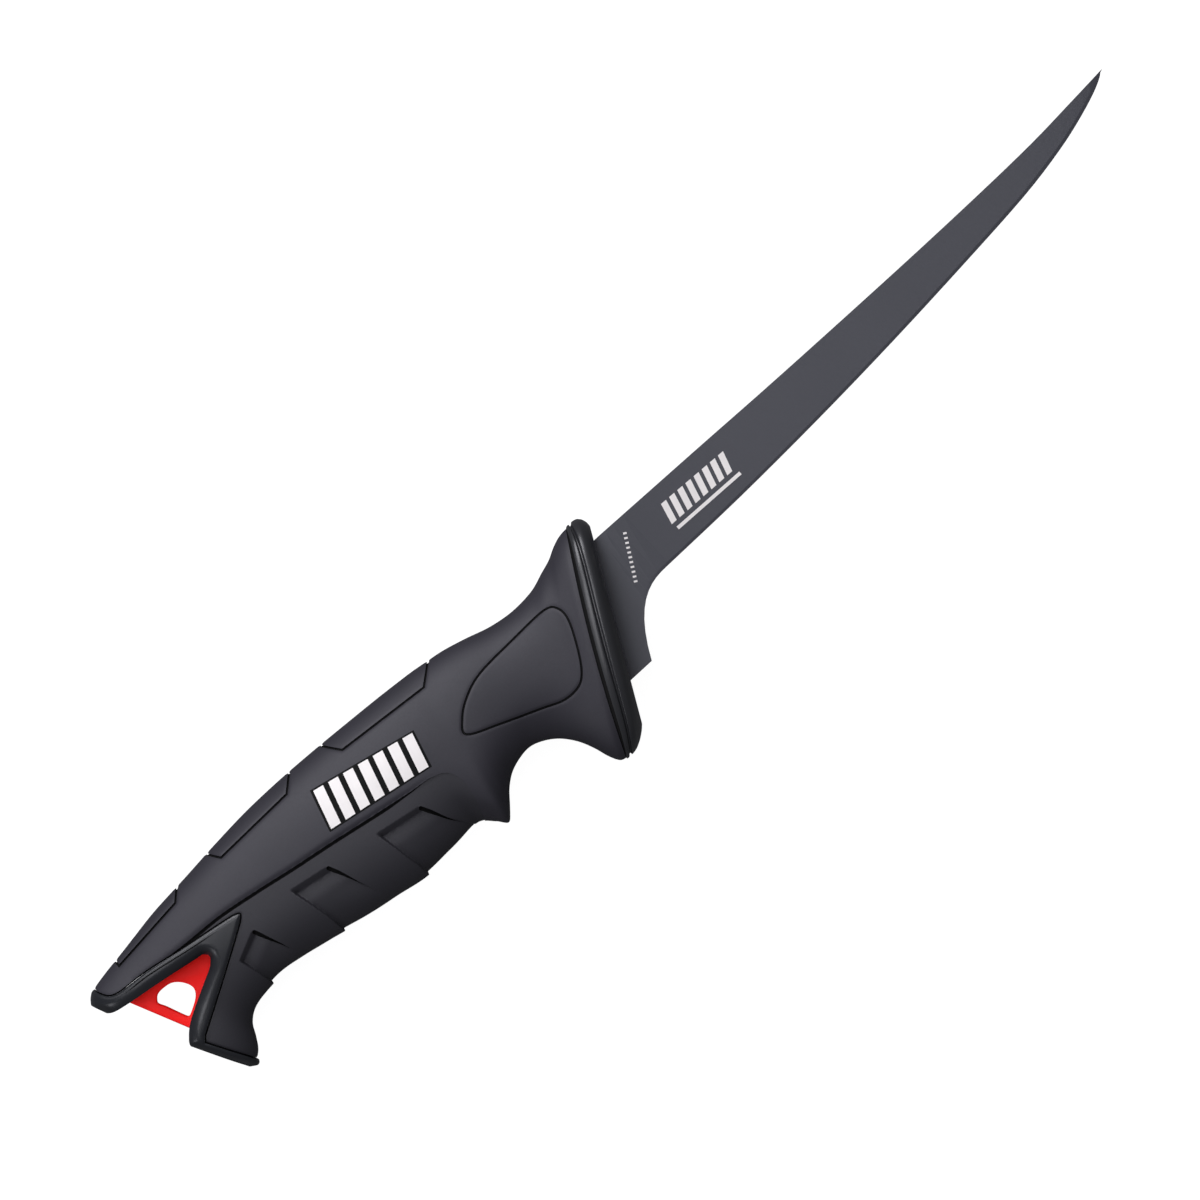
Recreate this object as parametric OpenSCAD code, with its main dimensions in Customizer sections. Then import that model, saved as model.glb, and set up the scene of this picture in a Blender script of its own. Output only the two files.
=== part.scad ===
/* [Blade] */
// Length of the blade from the guard's upper rim to its point
blade_len = 152.4; // [120:0.1:230]
// Height of the blade just ahead of its heel
blade_w = 15; // [13:0.5:18]
// Thickness of the steel at the guard
blade_t = 2.2; // [1.6:0.1:3]
// Thickness of the spine at the point
tip_t = 0.8; // [0.6:0.1:1.4]
// Thickness of the ground face where the edge bevel starts
bevel_t = 0.5; // [0.4:0.05:0.7]
// Thickness of the land that is left along the edge
edge_t = 0.1; // [0.06:0.02:0.2]
// Height of the edge bevel
bevel_h = 0.7; // [0.4:0.1:1.2]
// Depth of the heel below the spine line
heel_h = 29.3; // [26:0.1:31]
// How far the foot of the heel stands out of the guard
heel_out = 6.4; // [5:0.1:8]
// Length of the tang behind the guard
tang_len = 84; // [60:1:88]
// Height of the tang behind its shoulders
tang_h = 12; // [10:0.5:14]
// Radius of the holes that lock the tang in the core
tang_hole_r = 2.5; // [1.5:0.1:3.2]

/* [Handle] */
// Length of the handle from the guard's upper rim to the butt
handle_len = 154; // [145:1:170]
// Height of the grip at its palm swell
grip_h = 37.5; // [35:0.5:41]
// Thickness of the grip at its palm swell
grip_t = 25; // [22:0.5:28]
// Thickness of the soft grip over the core
grip_wall = 3; // [2.6:0.1:3.4]
// Drop from the main grip down to the finger grip
crease_drop = 0.6; // [0.3:0.1:1]
// Depth of the panels sunk in the finger grip
panel_drop = 0.8; // [0.4:0.1:1]

/* [Guard] */
// Length of the guard collar along its lean
guard_h = 53.6; // [51:0.1:56]
// Width of the guard collar
guard_w = 27; // [25:0.5:30]
// Thickness of the guard collar
guard_t = 5.4; // [4.6:0.1:6]
// Lean of the guard from square
rake = 27.8; // [26:0.5:31]
// How far the collar stands out past the grip
rim_stand = 0.4; // [0.2:0.1:0.8]
// Depth of the groove round the rim of the collar
rim_groove = 0.8; // [0.4:0.1:1.2]

/* [Inlays and insert] */
// Thickness of the inlaid pads
pad_t = 1.5; // [1.2:0.1:1.8]
// Width of the groove round each inlaid pad
groove = 0.47; // [0.35:0.01:0.8]
// Thickness of the lanyard insert
insert_t = 4; // [3:0.1:5]
// Depth that the lanyard insert is let into the fork frame
insert_grip = 1.5; // [1:0.1:1.8]
// How far the fork frame stands out past the grips
fork_stand = 0.3; // [0.2:0.05:0.6]

/* [Hidden] */

// Clearance between pieces that are moulded on each other
fit = 0.1;
// Gap that shows between two neighbouring mouldings
seam = 0.3;
// Overrun of a cut past the face that it opens
over = 2;
// Corners round one section of the grips, and round one of the surfaces hidden inside them
ring = 36;
inner_ring = 20;
// Stations from one rib of the grips to the next
rib_steps = 2;
// Roundness of the grip's sections: 2 is an ellipse, more is squarer
section_share = 2.35;

// Where the guard's front face crosses the spine line, behind the upper rim
guard_set = guard_t * 0.3;
// Middle of the guard, down along its lean
guard_mid = guard_h * 0.38;

// Flare from the guard to the neck, each rib as shares of the way:
// back along, back down, belly along, belly up, half thickness
flare_shares = [
    [0.09, 0.02, 0.13, 0.04, 0.03],
    [0.20, 0.09, 0.25, 0.20, 0.24],
    [0.34, 0.26, 0.35, 0.42, 0.48],
    [0.50, 0.51, 0.50, 0.65, 0.70],
    [0.71, 0.72, 0.73, 0.86, 0.88]
];
// Ribs of the grip from the neck to the butt: back and belly as shares of handle_len and grip_h,
// then the half thickness as a share of grip_t
rib_shares = [
    [0.130, 0.008, 0.261, -0.701, 0.420],
    [0.169, -0.003, 0.282, -0.669, 0.416],
    [0.208, 0.019, 0.303, -0.675, 0.424],
    [0.247, 0.067, 0.326, -0.707, 0.440],
    [0.282, 0.104, 0.345, -0.765, 0.456],
    [0.312, 0.123, 0.362, -0.845, 0.468],
    [0.334, 0.136, 0.379, -0.923, 0.476],
    [0.354, 0.144, 0.392, -0.869, 0.480],
    [0.377, 0.152, 0.406, -0.810, 0.484],
    [0.403, 0.160, 0.423, -0.800, 0.492],
    [0.455, 0.173, 0.468, -0.824, 0.500],
    [0.519, 0.187, 0.519, -0.838, 0.500],
    [0.584, 0.195, 0.575, -0.799, 0.500],
    [0.649, 0.192, 0.633, -0.770, 0.488],
    [0.714, 0.173, 0.688, -0.722, 0.464],
    [0.779, 0.147, 0.744, -0.680, 0.440],
    [0.844, 0.123, 0.789, -0.690, 0.416],
    [0.890, 0.093, 0.825, -0.714, 0.400],
    [0.922, 0.071, 0.846, -0.770, 0.396],
    [0.945, 0.057, 0.857, -0.850, 0.400],
    [0.964, 0.044, 0.868, -0.918, 0.404],
    [0.984, 0.025, 0.884, -0.962, 0.400],
    [0.996, -0.005, 0.897, -0.962, 0.380],
    [1.003, -0.040, 0.908, -0.950, 0.330]
];

// Fork frame: its arms against the grips, then its foot down and up again, its V and its horn
fork_outer_shares = [
    [0.986, 0.060], [0.982, -0.020], [0.964, -0.088], [0.909, -0.112], [0.844, -0.160], [0.779, -0.203],
    [0.758, -0.222], [0.755, -0.246], [0.779, -0.312], [0.844, -0.469], [0.909, -0.622]
];
fork_foot_shares = [[0.916, -0.656], [0.886, -0.880], [0.872, -1.000]];
fork_heel_shares = [[0.894, -0.940]];
fork_inner_shares = [
    [0.935, -0.613], [0.930, -0.577], [0.909, -0.501], [0.857, -0.387], [0.838, -0.347], [0.827, -0.300],
    [0.832, -0.262], [0.844, -0.253], [0.909, -0.208], [0.955, -0.181], [0.985, -0.155], [0.999, -0.110]
];
// Corners past the butt that close the frame's side view, and the zones behind it and the finger grip
horn_shares = [[1.010, -0.020], [1.000, 0.060]];
fork_back_shares = [[0.872, -1.300], [1.100, -1.300], [1.100, 0.300], [0.986, 0.300]];
finger_back_shares = [[0.408, -1.300], [1.100, -1.300], [1.100, -0.105]];
insert_back_shares = [[1.010, -0.900]];
// Ribs between which the fork frame lies
fork_ribs = [18, 29];
// Lanyard hole, with its straight side first
hole_shares = [
    [0.929, -0.285], [0.911, -0.468], [0.880, -0.405], [0.878, -0.345], [0.887, -0.293], [0.897, -0.257],
    [0.920, -0.250]
];
// Bounds of the lanyard insert: its outer edge first, then past the root of the V
insert_bound_shares = [[0.965, -0.130], [0.913, -0.600], [0.800, -0.600], [0.800, -0.130]];

// Line between the main grip and the finger grip, from the fork to the belly behind the spur
crease_shares = [
    [0.930, -0.105], [0.850, -0.140], [0.779, -0.157], [0.714, -0.197], [0.649, -0.245], [0.584, -0.288],
    [0.519, -0.336], [0.455, -0.381], [0.416, -0.405], [0.394, -0.455], [0.386, -0.560], [0.393, -0.700],
    [0.408, -0.860]
];
// Ribs from which each panel's floor sinks, and at which it is at full depth, under the panel's rear edge
panel_ribs = [[21.4, 23], [18.2, 20.2], [16.2, 18]];
// Sunk panels of the finger grip: top rear, top front, foot front, foot rear
panel_shares = [
    [[0.800, -0.380], [0.755, -0.350], [0.724, -0.760], [0.786, -0.760]],
    [[0.677, -0.333], [0.615, -0.381], [0.569, -0.900], [0.655, -0.900]],
    [[0.528, -0.437], [0.457, -0.488], [0.416, -0.900], [0.512, -0.900]]
];
// Spine pads: lower rear, lower front and upper front corners, then the upper rear one
spine_pad_shares = [
    [[0.934, 0.024], [0.812, 0.074], [0.796, 0.139], [0.796, 0.300], [0.934, 0.300]],
    [[0.719, 0.088], [0.587, 0.102], [0.566, 0.181], [0.566, 0.360], [0.732, 0.360], [0.732, 0.160]],
    [[0.485, 0.072], [0.337, 0.018], [0.308, 0.117], [0.308, 0.360], [0.504, 0.360], [0.504, 0.173]]
];
// Ribs between which the spine pads and the thumb pads lie
spine_pad_ribs = [[20, 27], [17, 21], [10, 18]];
thumb_pad_ribs = [1, 12];
// Thumb pad, from its rear corner over the top
thumb_pad_shares = [
    [0.337, -0.360], [0.327, -0.275], [0.302, -0.200], [0.264, -0.146], [0.195, -0.130], [0.135, -0.127],
    [0.118, -0.175], [0.118, -0.270], [0.136, -0.430], [0.154, -0.545], [0.172, -0.598], [0.200, -0.600],
    [0.234, -0.544], [0.290, -0.450]
];

// Spine and edge of the blade as shares of blade_len and blade_w, and the sweep of its heel
spine_shares = [
    [0, -0.053], [0.19, -0.087], [0.35, -0.120], [0.58, -0.140], [0.74, -0.133], [0.85, -0.107],
    [0.93, -0.053], [1, 0]
];
edge_shares = [
    [0.04, -1.070], [0.19, -1.047], [0.35, -0.980], [0.505, -0.880], [0.66, -0.747], [0.79, -0.613],
    [0.873, -0.467], [0.93, -0.313], [0.975, -0.147], [1, 0]
];
heel_sweep_share = 2.55;
// Steps in each stretch of a drawn curve, and of one that bounds a zone of the handle
curve_steps = 4;
zone_steps = 2;
// Steps down the sweep of the heel, and along the grind
heel_steps = 10;
grind_steps = 36;
// Thickness of the spine where the grind is at its full depth
spine_t = blade_t * 0.92;
// Where the grind runs in at the heel, and where it reaches its full depth
grind_start = -blade_w * 0.25;
grind_full = blade_w * 0.45;

// Tang: how far its shoulders sit behind the guard's front face, and the height of its middle
shoulder_set = guard_t + seam + blade_t;
tang_drop = heel_h * 0.5;
tang_rise = grip_h * 0.07;
tang_hole_shares = [0.34, 0.60, 0.86];

// Up along the guard's lean, and level with the spine from one of its faces to the next
lean_up = [sin(rake), cos(rake)];
lean_out = [1 / cos(rake), 0];
guard_centre = [-guard_set, 0] - guard_mid * lean_up;

// A point on the guard, up its lean and ahead of its front face, measured square to that
function on_guard(up, out) = guard_centre + up * lean_up + out * lean_out;

// A point given as shares of the handle's length and the grip's height
function on_handle(p) = [-p[0] * handle_len, p[1] * grip_h];
function on_blade(p) = [p[0] * blade_len, p[1] * blade_w];
function places(points) = [for (p = points) on_handle(p)];

// One stretch of a smooth curve through four values
function bend(p0, p1, p2, p3, t) =
    p1 + t / 2 * (p2 - p0 + t * (2 * p0 - 5 * p1 + 4 * p2 - p3 + t * (3 * p1 - 3 * p2 + p3 - p0)));

// Value of a table at a place that may lie between two rows
function along(table, u) =
    let(last = len(table) - 1, i = min(floor(u), last - 1), t = u - i)
    bend(table[max(i - 1, 0)], table[i], table[i + 1], table[min(i + 2, last)], t);

function curve(table, steps) = [for (k = [0 : (len(table) - 1) * steps]) along(table, k / steps)];

function loop(points, steps) =
    let(n = len(points))
    [for (i = [0 : n - 1], k = [0 : steps - 1])
        bend(points[(i + n - 1) % n], points[i], points[(i + 1) % n], points[(i + 2) % n], k / steps)];

// Ribs of the grip in real sizes: back, belly and half thickness
function rib_size(r) = [-r[0] * handle_len, r[1] * grip_h, -r[2] * handle_len, r[3] * grip_h, r[4] * grip_t];
neck_rib = rib_size(rib_shares[0]);
flange_top = on_guard(guard_h / 2 - rim_stand, -guard_t - fit);
flange_foot = on_guard(rim_stand - guard_h / 2, -guard_t - fit);
flange_rib = [flange_top[0], flange_top[1], flange_foot[0], flange_foot[1], guard_w / 2 - rim_stand];
ribs = concat(
    [flange_rib],
    [for (s = flare_shares) [for (k = [0 : 4]) flange_rib[k] + s[k] * (neck_rib[k] - flange_rib[k])]],
    [for (r = rib_shares) rib_size(r)]
);
last_rib = len(ribs) - 1;
// Rib at the front end of the finger grip, and the one where its step is at full depth
finger_rib = 12.5;
finger_full_rib = 16;

// How far the sides of the collar bow back, and the grip behind it as far as the given rib
bow_share = 0.22;
bow_rib = 5;

// One section of the grip, grown outward by an amount
function section(u, grow, n) =
    let(
        r = along(ribs, u),
        back = [r[0], r[1]],
        belly = [r[2], r[3]],
        way = (back - belly) / norm(back - belly),
        half = (back - belly) / 2 + grow * way,
        middle = (back + belly) / 2,
        bow = bow_share * guard_t * pow(max(0, 1 - u / bow_rib), 2)
    )
    [for (j = [0 : n - 1])
        let(
            c = cos(360 * j / n),
            s = sin(360 * j / n),
            p = middle + c * half,
            bulge = pow(max(0, 1 - pow(abs(c), section_share)), 1 / section_share)
        )
        [p[0] - bow * (1 - c * c), p[1], (r[4] + grow) * sign(s) * bulge]];

function shifted(points, x) = [for (p = points) p + [x, 0, 0]];

// Flat strips from side to side that close a ring of an even number of points, bowed or not
function strips(n) =
    concat(
        [[0, 1, n - 1]],
        [for (j = [1 : n / 2 - 2]) [j, j + 1, n - j - 1, n - j]],
        [[n / 2 - 1, n / 2, n / 2 + 1]]
    );

// A solid skinned over rings of points, which run toward the butt
module skin(rings) {
    n = len(rings[0]);
    m = len(rings);
    ends = n % 2 == 0 ? strips(n) : [[for (j = [0 : n - 1]) j]];
    points = [for (r = rings) each r];
    sides = [for (i = [0 : m - 2], j = [0 : n - 1], half = [0, 1])
        let(a = i * n + j, b = i * n + (j + 1) % n)
        half == 0 ? [a, b, a + n] : [b, b + n, a + n]];
    polyhedron(points, concat(
        [for (f = ends) [for (j = [len(f) - 1 : -1 : 0]) f[j]]],
        sides,
        [for (f = ends) [for (j = f) (m - 1) * n + j]]
    ));
}

// The handle's form between two ribs, grown outward by an amount
module form(grow, ends = [0, last_rib], n = ring, steps = rib_steps, lead = 0) {
    count = (ends[1] - ends[0]) * steps;
    rings = [for (k = [0 : count]) section(ends[0] + k / steps, grow, n)];
    skin(lead == 0 ? rings : concat([shifted(rings[0], lead)], rings, [shifted(rings[count], -lead)]));
}

// The same form where it is hidden, with fewer faces
module inner_form(grow, ends = [0, last_rib], lead = 0) {
    form(grow, ends, inner_ring, 1, lead);
}

// The form stepped down for the finger grip, which comes up level at its front end.
// Between the given ribs it sinks further, to the floor of a panel.
module finger_form(panel = [last_rib, last_rib + 1]) {
    count = (last_rib - finger_rib) * rib_steps;
    skin([for (k = [0 : count])
        let(
            u = finger_rib + (last_rib - finger_rib) * k / count,
            fade = min(1, (u - finger_rib) / (finger_full_rib - finger_rib)),
            sunk = min(1, max(0, (u - panel[0]) / (panel[1] - panel[0])))
        )
        section(u, -crease_drop * fade - panel_drop * sunk, ring)]);
}

// A zone seen from the side, cut right through the handle
module zone(points, grow = 0) {
    linear_extrude(height = grip_t * 2, center = true) {
        offset(delta = grow) {
            polygon(points);
        }
    }
}

// The same zone with a round groove all along its outline
module grooved_zone(points) {
    n = len(points);
    zone(points);
    for (k = [0 : n - 1]) {
        hull() {
            for (p = [points[k], points[(k + 1) % n]]) {
                translate([p[0], p[1], 0]) {
                    cylinder(h = grip_t * 2, r = groove, center = true, $fn = 8);
                }
            }
        }
    }
}

// Everything behind the line where the grips meet the fork frame
function fork_line() = concat(curve(places(fork_outer_shares), zone_steps), places(fork_foot_shares));

function fork_zone() = concat(fork_line(), places(fork_back_shares));

function fork_outline() =
    concat(
        fork_line(),
        places(fork_heel_shares),
        curve(places(fork_inner_shares), zone_steps),
        places(horn_shares)
    );

function finger_zone() = concat(curve(places(crease_shares), zone_steps), places(finger_back_shares));

function thumb_outline() = loop(places(thumb_pad_shares), zone_steps);

// Side view of the lanyard insert, let into both arms of the frame
module insert_shape() {
    intersection() {
        offset(delta = insert_grip) {
            polygon(concat(curve(places(fork_inner_shares), zone_steps), places(insert_back_shares)));
        }
        polygon(places(insert_bound_shares));
    }
}

// Side view of the blade with its heel and tang
heel_face = -guard_set - heel_h * tan(rake);
heel_corner = [heel_face + heel_out, -heel_h];
edge_start = on_blade(edge_shares[0]);
shoulder_back = shoulder_set / cos(rake);
tang_front = heel_face - shoulder_back + (heel_h - tang_drop) * tan(rake);
tang_end = -guard_set - tang_len;

function blade_outline() =
    concat(
        curve([for (p = spine_shares) on_blade(p)], curve_steps),
        [for (k = [(len(edge_shares) - 1) * curve_steps - 1 : -1 : 0])
            along([for (p = edge_shares) on_blade(p)], k / curve_steps)],
        [for (k = [1 : heel_steps])
            let(x = edge_start[0] + (heel_corner[0] - edge_start[0]) * k / heel_steps)
            [x, foot_at(x)]],
        [
            [heel_face - shoulder_back, -heel_h],
            [heel_face - shoulder_back + (heel_h - tang_drop - tang_h / 2) * tan(rake), -tang_drop - tang_h / 2],
            [tang_end, -tang_drop - tang_h / 2 + tang_rise],
            [tang_end, -tang_drop + tang_h / 2 + tang_rise],
            [heel_face - shoulder_back + (heel_h - tang_drop + tang_h / 2) * tan(rake), -tang_drop + tang_h / 2],
            [-guard_set - shoulder_back + spine_shares[0][1] * blade_w * tan(rake), spine_shares[0][1] * blade_w]
        ]
    );

module tang_holes(r, length) {
    for (s = tang_hole_shares) {
        x = tang_front + s * (tang_end - tang_front);
        translate([x, -tang_drop + s * tang_rise, 0]) {
            cylinder(h = length, r = r, center = true, $fn = 32);
        }
    }
}

// Height of a drawn curve at a share of the blade's length
function height_at(table, s) =
    let(
        i = max([for (k = [0 : len(table) - 2]) if (table[k][0] <= s) k]),
        t = (s - table[i][0]) / (table[i + 1][0] - table[i][0]),
        last = len(table) - 1
    )
    blade_w * bend(table[max(i - 1, 0)], table[i], table[i + 1], table[min(i + 2, last)], t)[1];

// Lower outline of the blade: its edge, and the sweep down to the heel
function foot_at(x) =
    x < edge_start[0]
    ? edge_start[1] + (heel_corner[1] - edge_start[1])
        * pow((edge_start[0] - x) / (edge_start[0] - heel_corner[0]), heel_sweep_share)
    : height_at(edge_shares, min(x / blade_len, 1));

// What the grind takes off one side of the blade, as rings across the blade
function grind_ring(k) =
    let(
        x = grind_start + (blade_len + over - grind_start) * (1 - cos(180 * k / grind_steps)) / 2,
        s = min(max(x / blade_len, 0), 1),
        run = min((x - grind_start) / (grind_full - grind_start), 1),
        clear = (blade_t / 2 + fit) * (1 - run),
        top = height_at(spine_shares, s),
        foot = foot_at(x),
        rise = min(bevel_h, max(top - foot, bevel_h / 2) / 2),
        top_half = clear + (spine_t + (tip_t - spine_t) * s) / 2 * run,
        bevel_half = clear + bevel_t / 2 * run,
        edge_half = clear + edge_t / 2 * run,
        slope = (top_half - bevel_half) / max(top - foot - rise, bevel_h),
        bevel_slope = (bevel_half - edge_half) / rise
    )
    [
        [x, top + over, top_half + over * slope],
        [x, top + over, blade_t + over],
        [x, foot - bevel_h, blade_t + over],
        [x, foot - bevel_h, edge_half - bevel_h * bevel_slope],
        [x, foot + rise, bevel_half]
    ];

// Rim of the guard collar, from its front to its back: share of the thickness, how far it is drawn in,
// and the share of the bow that it takes. The last row is the flat back that faces the core.
rim_shares = [
    [0, 5.0, 0], [0.05, 3.4, 0], [0.13, 1.9, 0.1], [0.21, 1.0, 0.2], [0.29, 0.4, 0.3], [0.40, 0.1, 0.4],
    [0.48, 0.1, 0.5], [0.52, 0.7, 0.5], [0.58, 0.7, 0.6], [0.62, 0.1, 0.6], [0.74, 0, 0.7], [0.86, 0.3, 0.9],
    [0.94, 0.9, 1], [1, 1.7, 1], [1, 3.2, 0]
];
// How far the groove of the collar runs back at both ends, and how sharply
groove_run_share = 0.24;
groove_turn = 6;
rim_ring = 44;

function collar_ring(s) =
    let(draw = s[1] * rim_groove, run = 4 * s[0] * (1 - s[0]) * groove_run_share)
    [for (j = [0 : rim_ring - 1])
        let(
            c = cos(360 * j / rim_ring),
            q = sin(360 * j / rim_ring),
            back = s[0] + s[2] * bow_share * (1 - c * c) + run * pow(abs(c), groove_turn),
            p = on_guard((guard_h / 2 - draw) * c, -back * guard_t),
            bulge = pow(max(0, 1 - pow(abs(c), section_share)), 1 / section_share)
        )
        [p[0], p[1], (guard_w / 2 - draw) * sign(q) * bulge]];

// Lowest and highest points of the part, for its place on the surface that it lies on
part_back = ribs[last_rib][0] - fork_stand / 2;
half_thick = max(guard_w / 2, grip_t / 2 + fork_stand);
part_low = on_guard(-guard_h / 2, 0)[1];
part_high = max([for (r = ribs) r[1]]);

module place() {
    translate([-(blade_len + part_back) / 2, -(part_low + part_high) / 2, half_thick]) {
        children();
    }
}

module blade() {
    color("#4b4c52") place() {
        difference() {
            linear_extrude(height = blade_t, center = true) {
                polygon(blade_outline());
            }
            tang_holes(tang_hole_r, blade_t + 2 * over);
            for (side = [0, 1]) {
                mirror([0, 0, side]) {
                    skin([for (k = [grind_steps : -1 : 0]) grind_ring(k)]);
                }
            }
        }
    }
}

// Pocket for the steel, wherever a moulding closes round it
module steel_pocket() {
    linear_extrude(height = blade_t + 2 * fit, center = true) {
        offset(delta = fit) {
            polygon(blade_outline());
        }
    }
}

module core() {
    color("#2b2b2e") place() {
        difference() {
            inner_form(-grip_wall);
            difference() {
                steel_pocket();
                tang_holes(tang_hole_r - fit, blade_t + over);
            }
            zone(fork_zone(), fit);
        }
    }
}

module guard_collar() {
    color("#17181a") place() {
        difference() {
            skin([for (s = rim_shares) collar_ring(s)]);
            steel_pocket();
        }
    }
}

module fork_frame() {
    color("#17181a") place() {
        difference() {
            intersection() {
                form(fork_stand, fork_ribs);
                zone(fork_outline());
            }
            linear_extrude(height = insert_t + 2 * fit, center = true) {
                offset(delta = fit) {
                    insert_shape();
                }
            }
        }
    }
}

module lanyard_insert() {
    color("#e8222a") place() {
        linear_extrude(height = insert_t, center = true) {
            difference() {
                insert_shape();
                polygon(loop(places(hole_shares), curve_steps));
            }
        }
    }
}

module main_grip() {
    color("#3c3c44") place() {
        difference() {
            form(0);
            inner_form(fit - grip_wall, lead = over);
            zone(finger_zone(), seam / 2);
            zone(fork_zone(), seam);
            difference() {
                union() {
                    for (s = spine_pad_shares) {
                        zone(places(s), fit);
                    }
                    zone(thumb_outline(), fit);
                }
                inner_form(-pad_t - fit);
            }
            difference() {
                union() {
                    for (s = spine_pad_shares) {
                        grooved_zone(places(s));
                    }
                    grooved_zone(thumb_outline());
                }
                form(-groove);
            }
        }
    }
}

module finger_grip() {
    color("#2d2d2f") place() {
        difference() {
            intersection() {
                finger_form();
                zone(finger_zone(), -seam / 2);
            }
            inner_form(fit - grip_wall, lead = over);
            zone(fork_zone(), seam);
            for (k = [0 : len(panel_shares) - 1]) {
                difference() {
                    zone(places(panel_shares[k]));
                    finger_form(panel_ribs[k]);
                }
            }
        }
    }
}

module spine_pad(k) {
    color("#34343b") place() {
        difference() {
            intersection() {
                form(0, spine_pad_ribs[k]);
                zone(places(spine_pad_shares[k]));
            }
            inner_form(-pad_t, spine_pad_ribs[k]);
        }
    }
}

module thumb_pad(side) {
    color("#3a3a42") place() {
        mirror([0, 0, side]) {
            difference() {
                intersection() {
                    form(0, thumb_pad_ribs);
                    zone(thumb_outline());
                }
                inner_form(-pad_t, thumb_pad_ribs);
                translate([0, 0, -grip_t]) {
                    zone(thumb_outline(), over);
                }
            }
        }
    }
}

module spine_pad_rear() {
    spine_pad(0);
}

module spine_pad_middle() {
    spine_pad(1);
}

module spine_pad_front() {
    spine_pad(2);
}

module thumb_pad_left() {
    thumb_pad(0);
}

module thumb_pad_right() {
    thumb_pad(1);
}

blade();
core();
guard_collar();
fork_frame();
lanyard_insert();
main_grip();
finger_grip();
spine_pad_rear();
spine_pad_middle();
spine_pad_front();
thumb_pad_left();
thumb_pad_right();
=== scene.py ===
import math

import bmesh
import bpy
import numpy as np
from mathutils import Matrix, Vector
from mathutils.bvhtree import BVHTree


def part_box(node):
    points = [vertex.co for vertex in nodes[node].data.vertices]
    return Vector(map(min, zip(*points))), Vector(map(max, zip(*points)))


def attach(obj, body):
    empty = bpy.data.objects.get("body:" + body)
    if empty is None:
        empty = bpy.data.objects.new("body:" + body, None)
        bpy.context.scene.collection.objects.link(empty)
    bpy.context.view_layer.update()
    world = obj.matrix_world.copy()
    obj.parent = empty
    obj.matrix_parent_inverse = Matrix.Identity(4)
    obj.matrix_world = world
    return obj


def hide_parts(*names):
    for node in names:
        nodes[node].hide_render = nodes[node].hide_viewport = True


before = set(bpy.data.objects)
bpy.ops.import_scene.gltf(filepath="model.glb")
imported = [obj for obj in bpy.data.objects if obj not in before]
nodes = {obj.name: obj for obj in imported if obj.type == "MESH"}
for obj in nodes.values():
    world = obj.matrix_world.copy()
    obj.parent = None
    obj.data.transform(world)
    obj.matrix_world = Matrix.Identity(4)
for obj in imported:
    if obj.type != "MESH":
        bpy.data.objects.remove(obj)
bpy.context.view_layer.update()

mm = 0.001

# The knife's own axes: zero at the guard on the spine line, in the middle of the steel
bladeLength, heelHeight = 152.4, 29.3   # from zero to the tip, and down to the foot of the heel, mm
bladeLow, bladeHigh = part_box("blade")
knifeZero = Vector((bladeHigh.x - bladeLength * mm, bladeLow.y + heelHeight * mm,
                    (bladeLow.z + bladeHigh.z) / 2))


def onKnife(x, y, z=0.0):
    return knifeZero + Vector((x, y, z)) * mm


# Camera and light
photoView = {
    "centre": (-10.0, -11.5),   # point of the knife in the middle of the picture, mm
    "width": 267.4,             # what the picture spans, mm
    "lens": 300.0,
    "sensor": 36.0,
    "turn": 42.57,              # the blade runs up to the right, degrees
    "farClip": 50.0,            # m
}
studio = {
    "floorSize": 6.0,
    "floorTone": (0.12, 0.12, 0.12), "floorGlow": 0.97,
    "skyTone": (0.92, 0.93, 1.0), "skyPower": 0.22,
    # where each lamp stands across and up in the picture, its height and its size in m, its power
    "keyLight": ((-0.75, 0.95), 0.7, 0.7, 15.0),
    "topLight": ((-0.35, 0.3), 1.4, 0.9, 11.0),
    "sideLight": ((-0.9, -0.8), 0.6, 0.5, 3.5),
    "lampTone": (0.95, 0.95, 1.0),
}


def makeCamera():
    data = bpy.data.cameras.new("photoCamera")
    data.lens = photoView["lens"]
    data.sensor_width = photoView["sensor"]
    data.clip_end = photoView["farClip"]
    cam = bpy.data.objects.new("photoCamera", data)
    bpy.context.scene.collection.objects.link(cam)
    away = photoView["width"] * mm * photoView["lens"] / photoView["sensor"]
    cam.location = onKnife(*photoView["centre"]) + Vector((0, 0, away))
    cam.rotation_euler = (0, 0, math.radians(-photoView["turn"]))
    bpy.context.scene.camera = cam


def makeLamp(name, side, height, size, power):
    # side is in picture directions: across, then up
    turn = math.radians(-photoView["turn"])
    across = Vector((math.cos(turn), math.sin(turn), 0))
    up = Vector((-math.sin(turn), math.cos(turn), 0))
    data = bpy.data.lights.new(name, "AREA")
    data.shape = "SQUARE"
    data.size = size
    data.energy = power
    data.color = studio["lampTone"]
    lamp = bpy.data.objects.new(name, data)
    bpy.context.scene.collection.objects.link(lamp)
    lamp.location = across * side[0] + up * side[1] + Vector((0, 0, height))
    lamp.rotation_euler = (-lamp.location).to_track_quat("-Z", "Y").to_euler()


def makeStudio():
    world = bpy.data.worlds.new("studioSky")
    world.use_nodes = True
    sky = world.node_tree.nodes["Background"]
    sky.inputs["Color"].default_value = (*studio["skyTone"], 1)
    sky.inputs["Strength"].default_value = studio["skyPower"]
    bpy.context.scene.world = world
    bpy.context.scene.view_settings.view_transform = "Standard"
    for name in ("keyLight", "topLight", "sideLight"):
        makeLamp(name, *studio[name])
    bm = bmesh.new()
    bmesh.ops.create_grid(bm, x_segments=1, y_segments=1, size=studio["floorSize"] / 2)
    floor = keep("studioFloor", bm)
    floor.data.materials.append(floorFinish())


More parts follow.
